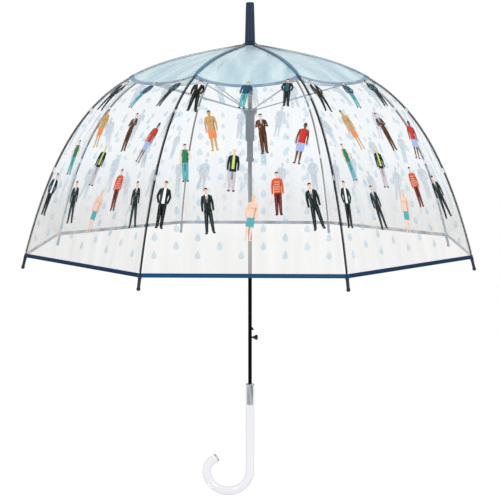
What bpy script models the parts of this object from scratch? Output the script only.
"""Clear bubble umbrella, open. Metres, +Z up, origin on the shaft axis inside the grip."""

import math

import bmesh
import bpy
from mathutils import Matrix, Vector

# ---- driving dimensions ----
RIB_COUNT = 8
GORE_STEP = math.radians(45.0)
HALF_GORE = GORE_STEP / 2

# canopy line in a rib's plane, (radius, height): a cubic Bezier from crown to rib tip
CANOPY = ((0.0120, 0.7257), (0.2293, 0.6886), (0.3452, 0.6626), (0.4320, 0.3300))
RIB_DROP = 0.0022  # rib centreline below the film
RIB_R = 0.0014
RIB_LEAD_T = 0.070  # where the rib's straight inner end meets the canopy line
KNEE_T = 0.532
TIP_LENGTH = 0.0230
TIP_BORE_R = 0.0016
TIP_BORE_DEPTH = 0.0090
TIP_BALL_R = 0.0033
RIB_IN_TIP = 0.0080

FILM_THICKNESS = 0.0003
SEAM_GAP = 0.00035
HEM_UP = 0.0245  # hem above the rib's tip, along the rib

HINGE_R = 0.0105  # ring of rib hinges and ring of stretcher hinges
NOTCH_HINGE_Z = 0.7180
RUNNER_HINGE_Z = 0.6060
STRETCHER_PIVOT = (0.2235, 0.6620)
STRETCHER_R = 0.0011
EYE_R = 0.0016
EYE_HOLE_R = 0.0008
WIRE_R = 0.0005
CHEEK_IN = 0.0009
CHEEK_OUT = 0.0017
LUG_HALF = 0.0006
RIVET_R = 0.0005
RIVET_HOLE_R = 0.0008
FORK_SLOT_DEPTH = 0.0045
FORK_LENGTH = 0.0075

SHAFT_R = 0.0036
SHAFT_BORE_R = 0.0030
SHAFT_BOTTOM_Z = 0.0450
SHAFT_TOP_Z = 0.7780

NOTCH_BOTTOM_Z = 0.7135
NOTCH_TOP_Z = 0.7243
NOTCH_R = 0.0125
NOTCH_CORE_R = 0.0080
RIB_SLOT = 0.0034
STRETCHER_SLOT = 0.0041

ROSETTE_Z = (0.7265, 0.7298)
ROSETTE_R = (0.0140, 0.0102)
FERRULE_BASE_Z = 0.7301
FERRULE_TOP_Z = 0.8030
FERRULE_BASE_R = 0.0098
FERRULE_TOP_R = 0.0076
FERRULE_BORE_TOP_Z = 0.7800

SLEEVE_Z = (0.6345, 0.6680)
SLEEVE_R = 0.0054
SPRING_Z = (0.6105, 0.6335)
SPRING_R = 0.0051
SPRING_WIRE_R = 0.0007
SPRING_TURNS = 6

RUNNER_BORE_R = 0.0040
RUNNER_BOTTOM_Z = 0.5100
RUNNER_FLANGE_TOP_Z = 0.5170
RUNNER_FLANGE_R = 0.0072
RUNNER_NECK_R = 0.0058
RUNNER_STEP_Z = 0.5485
RUNNER_BODY_R = 0.0084
CROWN_FLARE_Z = (0.5965, 0.6015)
CROWN_TOP_Z = 0.6090
CROWN_R = 0.0130
WINDOW_Z = (0.5116, 0.5215)

CATCH_FLAT_Z = 0.1892
CATCH_TOP_Z = 0.1975
CATCH_REACH = 0.0073
BUTTON_Z = 0.1750
BUTTON_HEAD_X = (0.0098, 0.0150)
BUTTON_HEAD_R = 0.0050
BUTTON_NECK_X = 0.0062
BUTTON_NECK_R = 0.0029
BUTTON_PIN_X = 0.0026
BUTTON_PIN_R = 0.0017

GRIP_R = 0.0084
GRIP_TOP_Z = 0.0840
GRIP_BORE_R = 0.0039
GRIP_BORE_Z = 0.0430
HOOK_CENTRE_Z = -0.0870
HOOK_R = 0.0422
HOOK_SWEEP = math.radians(172.0)
CURL_R = 0.0252
CURL_SWEEP = math.radians(62.0)
HOOK_END_LENGTH = 0.0120

for old in list(bpy.data.objects):
    bpy.data.objects.remove(old, do_unlink=True)

umbrella = bpy.data.collections.new("bubble_umbrella")
cutters = bpy.data.collections.new("cutters")
bpy.context.scene.collection.children.link(umbrella)
bpy.context.scene.collection.children.link(cutters)


def material(name, colour, roughness=0.4, metallic=0.0, alpha=1.0):
    made = bpy.data.materials.new(name)
    made.use_nodes = True
    shader = made.node_tree.nodes["Principled BSDF"]
    shader.inputs["Base Color"].default_value = (*colour, 1.0)
    shader.inputs["Roughness"].default_value = roughness
    shader.inputs["Metallic"].default_value = metallic
    shader.inputs["Alpha"].default_value = alpha
    return made


def mesh_from(name, points, faces):
    """A mesh whose faces all look outward."""
    mesh = bpy.data.meshes.new(name)
    mesh.from_pydata([tuple(p) for p in points], [], faces)
    bm = bmesh.new()
    bm.from_mesh(mesh)
    bmesh.ops.recalc_face_normals(bm, faces=bm.faces)
    bm.to_mesh(mesh)
    bm.free()
    return mesh


def revolved(name, profile, segments, axis_ends=False):
    """A profile of (radius, height) turned about Z. With axis_ends the profile runs from axis to axis."""
    rings = profile[1:-1] if axis_ends else profile
    points = []
    for turn in range(segments):
        angle = 2 * math.pi * turn / segments
        points += [(r * math.cos(angle), r * math.sin(angle), z) for r, z in rings]
    n = len(rings)
    faces = []
    for turn in range(segments):
        here, there = turn * n, (turn + 1) % segments * n
        for k in range(n - 1 if axis_ends else n):
            after = (k + 1) % n
            faces.append((here + k, there + k, there + after, here + after))
    if axis_ends:
        first, last = len(points), len(points) + 1
        points += [(0, 0, profile[0][1]), (0, 0, profile[-1][1])]
        for turn in range(segments):
            here, there = turn * n, (turn + 1) % segments * n
            faces.append((first, there, here))
            faces.append((last, here + n - 1, there + n - 1))
    return mesh_from(name, points, faces)


def swept(name, path, radius, sides, up=Vector((0, 1, 0))):
    """A round rod along a path that lies in a plane square to up."""
    points, faces = [], []
    for k, place in enumerate(path):
        before, after = path[max(k - 1, 0)], path[min(k + 1, len(path) - 1)]
        out = (after - before).normalized().cross(up)
        for side in range(sides):
            angle = 2 * math.pi * (side + 0.5) / sides
            points.append(place + radius * (math.cos(angle) * out + math.sin(angle) * up))
    for k in range(len(path) - 1):
        for side in range(sides):
            after = (side + 1) % sides
            faces.append((k * sides + side, k * sides + after, (k + 1) * sides + after, (k + 1) * sides + side))
    faces.append(tuple(range(sides)))
    faces.append(tuple(range((len(path) - 1) * sides, len(path) * sides)))
    return mesh_from(name, points, faces)


def prism(name, outline, low_y, high_y):
    """An outline of (x, z) given thickness along Y."""
    n = len(outline)
    points = [(x, low_y, z) for x, z in outline] + [(x, high_y, z) for x, z in outline]
    faces = [tuple(range(n)), tuple(range(n, 2 * n))]
    faces += [(k, (k + 1) % n, n + (k + 1) % n, n + k) for k in range(n)]
    return mesh_from(name, points, faces)


def box(name, low, high):
    outline = [(low[0], low[2]), (high[0], low[2]), (high[0], high[2]), (low[0], high[2])]
    return prism(name, outline, low[1], high[1])


def disc_outline(centre, radius, count=12):
    steps = [2 * math.pi * k / count for k in range(count)]
    return [(centre[0] + radius * math.cos(a), centre[1] + radius * math.sin(a)) for a in steps]


def capsule_outline(start, end, radius, count=6):
    """Round at start, square at end."""
    along = (Vector(end) - Vector(start)).normalized()
    angle = math.atan2(along.y, along.x)
    outline = [
        (
            start[0] + radius * math.cos(angle + math.pi / 2 + math.pi * k / count),
            start[1] + radius * math.sin(angle + math.pi / 2 + math.pi * k / count),
        )
        for k in range(count + 1)
    ]
    side = Vector((-along.y, along.x)) * radius
    outline.append(tuple(Vector(end) - side))
    outline.append(tuple(Vector(end) + side))
    return outline


def place(name, mesh, shade, collection=umbrella):
    made = bpy.data.objects.new(name, mesh)
    if shade:
        made.data.materials.clear()
        made.data.materials.append(shade)
    collection.objects.link(made)
    return made


def guide(mesh):
    made = place(mesh.name, mesh, None, cutters)
    made.hide_render = True
    made.display_type = "WIRE"
    return made


def shaped(name, base, added=(), cut=()):
    """base with meshes joined on and others cut away, as one mesh."""
    work = guide(base)
    for operation, meshes in (("UNION", added), ("DIFFERENCE", cut)):
        for mesh in meshes:
            step = work.modifiers.new(mesh.name, "BOOLEAN")
            step.operation = operation
            step.solver = "EXACT"
            step.object = guide(mesh)
    bpy.context.view_layer.update()
    seen = work.evaluated_get(bpy.context.evaluated_depsgraph_get())
    mesh = bpy.data.meshes.new_from_object(seen)
    mesh.name = name
    work.modifiers.clear()
    return mesh


def around(name, mesh, shade, first_angle):
    """Copies of one mesh, a gore's angle apart about the shaft."""
    for k in range(RIB_COUNT):
        made = place(f"{name}_{k + 1}", mesh, shade)
        made.rotation_euler = (0, 0, first_angle + k * GORE_STEP)


# ---- the canopy line ----
def canopy_point(t):
    a, b, c, d = (Vector(p) for p in CANOPY)
    s = 1 - t
    return s**3 * a + 3 * s * s * t * b + 3 * s * t * t * c + t**3 * d


def canopy_normal(t):
    a, b, c, d = (Vector(p) for p in CANOPY)
    s = 1 - t
    along = s * s * (b - a) + 2 * s * t * (c - b) + t * t * (d - c)
    return Vector((-along.y, along.x)).normalized()


def rib_point(t):
    return canopy_point(t) - RIB_DROP * canopy_normal(t)


def canopy_t_up(length):
    """The t that lies a length up from the rib's tip."""
    t, gone = 1.0, 0.0
    while gone < length:
        gone += (rib_point(t) - rib_point(t - 0.0005)).length
        t -= 0.0005
    return t


def upright(points):
    return [Vector((p[0], 0, p[1])) for p in points]


def steps(first, last, count):
    return [first + (last - first) * k / count for k in range(count + 1)]


# ---- materials ----
black_steel = material("black_steel", (0.012, 0.012, 0.014), 0.35, 0.6)
bright_steel = material("bright_steel", (0.45, 0.46, 0.48), 0.3, 1.0)
black_plastic = material("black_plastic", (0.015, 0.016, 0.02), 0.35)
navy_plastic = material("navy_plastic", (0.012, 0.022, 0.07), 0.2)
clear_film = material("clear_film", (0.86, 0.89, 0.94), 0.12, 0.0, 0.3)
clear_acrylic = material("clear_acrylic", (0.90, 0.91, 0.95), 0.05, 0.0, 0.4)

# ---- shaft, ferrule and hub ----
tube_outline = [
    (SHAFT_BORE_R, SHAFT_BOTTOM_Z),
    (SHAFT_R, SHAFT_BOTTOM_Z),
    (SHAFT_R, SHAFT_TOP_Z),
    (SHAFT_BORE_R, SHAFT_TOP_Z),
]
catch_slot = box("catch_slot", (0, -0.0012, CATCH_FLAT_Z - 0.0008), (0.005, 0.0012, CATCH_TOP_Z + 0.0010))
button_hole = revolved("button_hole", [(0, 0), (0.0020, 0), (0.0020, 0.006), (0, 0.006)], 16, True)
button_hole.transform(Matrix.Translation((0, 0, BUTTON_Z)) @ Matrix.Rotation(math.pi / 2, 4, "Y"))
tube = shaped("tube", revolved("tube_blank", tube_outline, 24), cut=[catch_slot, button_hole])
place("shaft_tube", tube, black_steel)

rosette_outline = [
    (0.0038, ROSETTE_Z[0]),
    (ROSETTE_R[0], ROSETTE_Z[0]),
    (ROSETTE_R[0], ROSETTE_Z[0] + 0.0007),
    (ROSETTE_R[1], ROSETTE_Z[1]),
    (0.0038, ROSETTE_Z[1]),
]
place("crown_rosette", revolved("rosette", rosette_outline, 24), navy_plastic)

ferrule_outline = [
    (0, FERRULE_BORE_TOP_Z),
    (0.0038, FERRULE_BORE_TOP_Z),
    (0.0038, FERRULE_BASE_Z),
    (FERRULE_BASE_R, FERRULE_BASE_Z),
    (FERRULE_BASE_R, FERRULE_BASE_Z + 0.0030),
    (FERRULE_TOP_R, FERRULE_TOP_Z - 0.0018),
    (FERRULE_TOP_R - 0.0016, FERRULE_TOP_Z),
    (0, FERRULE_TOP_Z),
]
place("ferrule", revolved("ferrule", ferrule_outline, 24, True), navy_plastic)


def hub_cuts(name, hinge_z, slot, core_r, low_z, high_z):
    """Eight radial slots and the groove for the wire ring."""
    made = [
        revolved(
            f"{name}_groove",
            [
                (HINGE_R - 0.0009, hinge_z - 0.0008),
                (0.0200, hinge_z - 0.0008),
                (0.0200, hinge_z + 0.0008),
                (HINGE_R - 0.0009, hinge_z + 0.0008),
            ],
            32,
        )
    ]
    for k in range(RIB_COUNT):
        cutter = box(f"{name}_slot_{k}", (core_r, -slot / 2, low_z), (0.0200, slot / 2, high_z))
        cutter.transform(Matrix.Rotation(HALF_GORE + k * GORE_STEP, 4, "Z"))
        made.append(cutter)
    return made


def wire_ring(name, height):
    turn = [2 * math.pi * k / 5 for k in range(5)]
    return revolved(name, [(HINGE_R + WIRE_R * math.cos(a), height + WIRE_R * math.sin(a)) for a in turn], 32)


notch_outline = [
    (0.0038, NOTCH_BOTTOM_Z),
    (NOTCH_R, NOTCH_BOTTOM_Z),
    (NOTCH_R, NOTCH_TOP_Z),
    (0.0038, NOTCH_TOP_Z),
]
notch_cuts = hub_cuts("notch", NOTCH_HINGE_Z, RIB_SLOT, NOTCH_CORE_R, 0.70, 0.74)
notch = shaped("notch", revolved("notch_blank", notch_outline, 32), cut=notch_cuts)
place("top_notch", notch, black_plastic)
place("notch_wire", wire_ring("notch_ring", NOTCH_HINGE_Z), bright_steel)

sleeve_outline = [
    (0.0038, SLEEVE_Z[0]),
    (SLEEVE_R, SLEEVE_Z[0]),
    (SLEEVE_R, SLEEVE_Z[1] - 0.001),
    (SLEEVE_R - 0.001, SLEEVE_Z[1]),
    (0.0038, SLEEVE_Z[1]),
]
place("stop_sleeve", revolved("sleeve", sleeve_outline, 20), black_plastic)

coil_points, coil_faces = [], []
COIL_STEPS = SPRING_TURNS * 12
for k in range(COIL_STEPS + 1):
    angle = 2 * math.pi * k / 12
    height = SPRING_Z[0] + (SPRING_Z[1] - SPRING_Z[0]) * k / COIL_STEPS
    for side in range(6):
        a = 2 * math.pi * side / 6
        r = SPRING_R + SPRING_WIRE_R * math.cos(a)
        coil_points.append((r * math.cos(angle), r * math.sin(angle), height + SPRING_WIRE_R * math.sin(a)))
for k in range(COIL_STEPS):
    for side in range(6):
        after = (side + 1) % 6
        coil_faces.append((k * 6 + side, k * 6 + after, k * 6 + 6 + after, k * 6 + 6 + side))
coil_faces.append(tuple(range(6)))
coil_faces.append(tuple(range(COIL_STEPS * 6, COIL_STEPS * 6 + 6)))
place("buffer_spring", mesh_from("coil", coil_points, coil_faces), bright_steel)

# ---- runner ----
runner_outline = [
    (RUNNER_BORE_R, RUNNER_BOTTOM_Z),
    (RUNNER_FLANGE_R, RUNNER_BOTTOM_Z),
    (RUNNER_FLANGE_R, RUNNER_FLANGE_TOP_Z - 0.0010),
    (RUNNER_FLANGE_R - 0.0010, RUNNER_FLANGE_TOP_Z),
    (RUNNER_NECK_R, RUNNER_FLANGE_TOP_Z),
    (RUNNER_NECK_R, RUNNER_STEP_Z),
    (RUNNER_BODY_R, RUNNER_STEP_Z),
    (RUNNER_BODY_R, CROWN_FLARE_Z[0]),
    (CROWN_R, CROWN_FLARE_Z[1]),
    (CROWN_R, CROWN_TOP_Z),
    (RUNNER_BORE_R, CROWN_TOP_Z),
]
runner_cuts = hub_cuts("crown", RUNNER_HINGE_Z, STRETCHER_SLOT, RUNNER_BODY_R, 0.590, 0.620)
window = box("window", (0.0030, -0.0016, WINDOW_Z[0]), (0.0100, 0.0016, WINDOW_Z[1]))
runner = shaped("runner_mesh", revolved("runner_blank", runner_outline, 32), cut=[*runner_cuts, window])
place("runner", runner, black_plastic)
place("runner_wire", wire_ring("crown_ring", RUNNER_HINGE_Z), bright_steel)

# ---- catch and push button ----
catch_outline = [
    (0.0012, BUTTON_Z - 0.0030),
    (0.0024, BUTTON_Z - 0.0030),
    (0.0024, CATCH_FLAT_Z),
    (CATCH_REACH, CATCH_FLAT_Z),
    (CATCH_REACH, CATCH_FLAT_Z + 0.0012),
    (0.0024, CATCH_TOP_Z),
    (0.0012, CATCH_TOP_Z),
]
place("catch", prism("catch_plate", catch_outline, -0.0008, 0.0008), bright_steel)

button_outline = [
    (0, BUTTON_PIN_X),
    (BUTTON_PIN_R, BUTTON_PIN_X),
    (BUTTON_PIN_R, BUTTON_NECK_X),
    (BUTTON_NECK_R, BUTTON_NECK_X),
    (BUTTON_NECK_R, BUTTON_HEAD_X[0]),
    (BUTTON_HEAD_R, BUTTON_HEAD_X[0]),
    (BUTTON_HEAD_R, BUTTON_HEAD_X[1] - 0.0018),
    (BUTTON_HEAD_R - 0.0006, BUTTON_HEAD_X[1] - 0.0006),
    (BUTTON_HEAD_R - 0.0018, BUTTON_HEAD_X[1]),
    (0, BUTTON_HEAD_X[1]),
]
button = revolved("button", button_outline, 20, True)
button.transform(Matrix.Translation((0, 0, BUTTON_Z)) @ Matrix.Rotation(math.pi / 2, 4, "Y"))
place("push_button", button, black_plastic)

# ---- handle ----
grip_path = [Vector((0, 0, z)) for z in steps(GRIP_TOP_Z, HOOK_CENTRE_Z, 3)]
hook_middle = Vector((-HOOK_R, 0, HOOK_CENTRE_Z))
for angle in steps(0, HOOK_SWEEP, 18)[1:]:
    grip_path.append(hook_middle + HOOK_R * Vector((math.cos(angle), 0, -math.sin(angle))))
curl_middle = hook_middle + (HOOK_R - CURL_R) * Vector((math.cos(HOOK_SWEEP), 0, -math.sin(HOOK_SWEEP)))
for angle in steps(HOOK_SWEEP, HOOK_SWEEP + CURL_SWEEP, 7)[1:]:
    grip_path.append(curl_middle + CURL_R * Vector((math.cos(angle), 0, -math.sin(angle))))
last_angle = HOOK_SWEEP + CURL_SWEEP
grip_path.append(grip_path[-1] + HOOK_END_LENGTH * Vector((-math.sin(last_angle), 0, -math.cos(last_angle))))
grip_blank = swept("grip_blank", grip_path, GRIP_R, 20)
bore_outline = [(0, GRIP_BORE_Z), (GRIP_BORE_R, GRIP_BORE_Z), (GRIP_BORE_R, 0.1), (0, 0.1)]
grip = shaped("grip", grip_blank, cut=[revolved("grip_bore", bore_outline, 24, True)])
place("handle", grip, clear_acrylic)

# ---- ribs, each with a knuckle at the knee ----
knee = rib_point(KNEE_T)
hinge = (HINGE_R, NOTCH_HINGE_Z)
knee_before = rib_point(KNEE_T - 0.008)

upper_path = [hinge, rib_point(RIB_LEAD_T)]
upper_path += [rib_point(t) for t in steps(RIB_LEAD_T, KNEE_T - 0.008, 9)[1:]]
upper_rod = swept("upper_rod", upright(upper_path), RIB_R, 6)
hub_eye = prism("hub_eye", disc_outline(hinge, 0.0019), -0.0013, 0.0013)
hub_hole = prism("hub_hole", disc_outline(hinge, EYE_HOLE_R, 10), -0.003, 0.003)
pivot_t = min(steps(0.3, 0.6, 300), key=lambda t: abs(rib_point(t).x - STRETCHER_PIVOT[0] - 0.001))
lug = prism("lug", capsule_outline(STRETCHER_PIVOT, rib_point(pivot_t), EYE_R), -LUG_HALF, LUG_HALF)
lug_hole = prism("lug_hole", disc_outline(STRETCHER_PIVOT, RIVET_HOLE_R, 10), -0.003, 0.003)
tongue = prism("tongue", capsule_outline(knee, knee_before, 0.0013), -0.0006, 0.0006)
tongue_hole = prism("tongue_hole", disc_outline(knee, 0.0007, 10), -0.003, 0.003)
upper_rib = shaped(
    "upper_rib", upper_rod, added=[hub_eye, lug, tongue], cut=[hub_hole, lug_hole, tongue_hole]
)
around("rib_upper", upper_rib, black_steel, HALF_GORE)

tip_t = canopy_t_up(TIP_LENGTH - RIB_IN_TIP)
lower_ts = steps(KNEE_T + 0.008, tip_t, 8)
lower_rod = swept("lower_rod", upright([rib_point(t) for t in lower_ts]), RIB_R, 6)
knuckle = prism("knuckle", capsule_outline(knee, rib_point(KNEE_T + 0.011), 0.0013), -0.0016, 0.0016)
knuckle_slot = prism("knuckle_slot", disc_outline(knee, 0.0024, 16), -0.0009, 0.0009)
knee_pin = prism("knee_pin", disc_outline(knee, 0.0004, 8), -0.0013, 0.0013)
open_knuckle = shaped("open_knuckle", knuckle, cut=[knuckle_slot])
lower_rib = shaped("lower_rib", lower_rod, added=[open_knuckle, knee_pin])
around("rib_lower", lower_rib, black_steel, HALF_GORE)

# ---- rib tips ----
tip_end = rib_point(1.0)
tip_start_t = canopy_t_up(TIP_LENGTH)
tip_start = rib_point(tip_start_t)
tip_axis = (tip_end - tip_start).normalized()
tip_outline = [
    (0, TIP_BORE_DEPTH),
    (TIP_BORE_R + 0.0001, TIP_BORE_DEPTH),
    (TIP_BORE_R + 0.0001, 0),
    (0.0029, 0),
    (0.0032, 0.0020),
    (0.0027, 0.0070),
    (0.0026, TIP_LENGTH - 0.0060),
]
ball_middle = TIP_LENGTH - TIP_BALL_R
tip_outline += [
    (TIP_BALL_R * math.sin(a), ball_middle - TIP_BALL_R * math.cos(a))
    for a in steps(math.radians(56), math.radians(150), 4)
]
tip_outline.append((0, TIP_LENGTH))
tip = revolved("tip", tip_outline, 10, True)
lean = math.atan2(tip_axis.x, tip_axis.y)
tip.transform(Matrix.Translation((tip_start.x, 0, tip_start.y)) @ Matrix.Rotation(lean, 4, "Y"))
around("rib_tip", tip, navy_plastic, HALF_GORE)

# ---- stretchers: a fork at the rib, an open hook at the runner ----
pivot = Vector(STRETCHER_PIVOT)
foot = Vector((HINGE_R, RUNNER_HINGE_Z))
run = (foot - pivot).normalized()
rod_path = upright([pivot + 0.0052 * run, foot - 0.0011 * run])
stretcher_rod = swept("stretcher_rod", rod_path, STRETCHER_R, 6)
fork_blank = prism("fork_blank", capsule_outline(pivot, pivot + FORK_LENGTH * run, EYE_R), -CHEEK_OUT, CHEEK_OUT)
fork_slot = prism("fork_slot", disc_outline(pivot, FORK_SLOT_DEPTH, 20), -CHEEK_IN, CHEEK_IN)
fork = shaped("fork", fork_blank, cut=[fork_slot])
rivet = prism("rivet", disc_outline(pivot, RIVET_R, 8), -CHEEK_OUT + 0.0003, CHEEK_OUT - 0.0003)
foot_eye = prism("foot_eye", disc_outline(foot, EYE_R), -0.0012, 0.0012)
foot_hole = prism("foot_hole", disc_outline(foot, EYE_HOLE_R, 10), -0.003, 0.003)
foot_mouth = box("foot_mouth", (foot.x - 0.0006, -0.003, foot.y), (foot.x + 0.0006, 0.003, foot.y + 0.004))
stretcher = shaped(
    "stretcher_mesh", stretcher_rod, added=[fork, rivet, foot_eye], cut=[foot_hole, foot_mouth]
)
around("stretcher", stretcher, black_steel, HALF_GORE)


# ---- film gores: straight across from rib to rib ----
def gore(name, ts):
    """Flat across, curved down: a strip of film between two seam planes."""
    squeeze = math.cos(HALF_GORE)
    outer, inner = [], []
    for t in ts:
        middle, across = canopy_point(t), canopy_normal(t)
        normal = Vector((across.x / squeeze, across.y)).normalized()
        line = Vector((middle.x * squeeze, middle.y))
        outer.append(line + FILM_THICKNESS / 2 * normal)
        inner.append(line - FILM_THICKNESS / 2 * normal)
    points = []
    for line in (outer, inner):
        for spot in line:
            half = spot.x * math.tan(HALF_GORE) - SEAM_GAP / math.cos(HALF_GORE)
            points += [(spot.x, -half, spot.y), (spot.x, half, spot.y)]
    n = len(ts)
    faces = []
    for k in range(n - 1):
        a, b = 2 * k, 2 * (n + k)
        faces.append((a, a + 1, a + 3, a + 2))
        faces.append((b, b + 2, b + 3, b + 1))
        faces.append((a, a + 2, b + 2, b))
        faces.append((a + 1, b + 1, b + 3, a + 3))
    last = 2 * (n - 1)
    faces.append((0, 2 * n, 2 * n + 1, 1))
    faces.append((last, last + 1, last + 2 * n + 1, last + 2 * n))
    return mesh_from(name, points, faces)


hem_t = canopy_t_up(HEM_UP)
around("gore_upper", gore("upper_gore", steps(0.0, KNEE_T - 0.0006, 10)), clear_film, 0)
around("gore_lower", gore("lower_gore", steps(KNEE_T + 0.0006, hem_t, 10)), clear_film, 0)
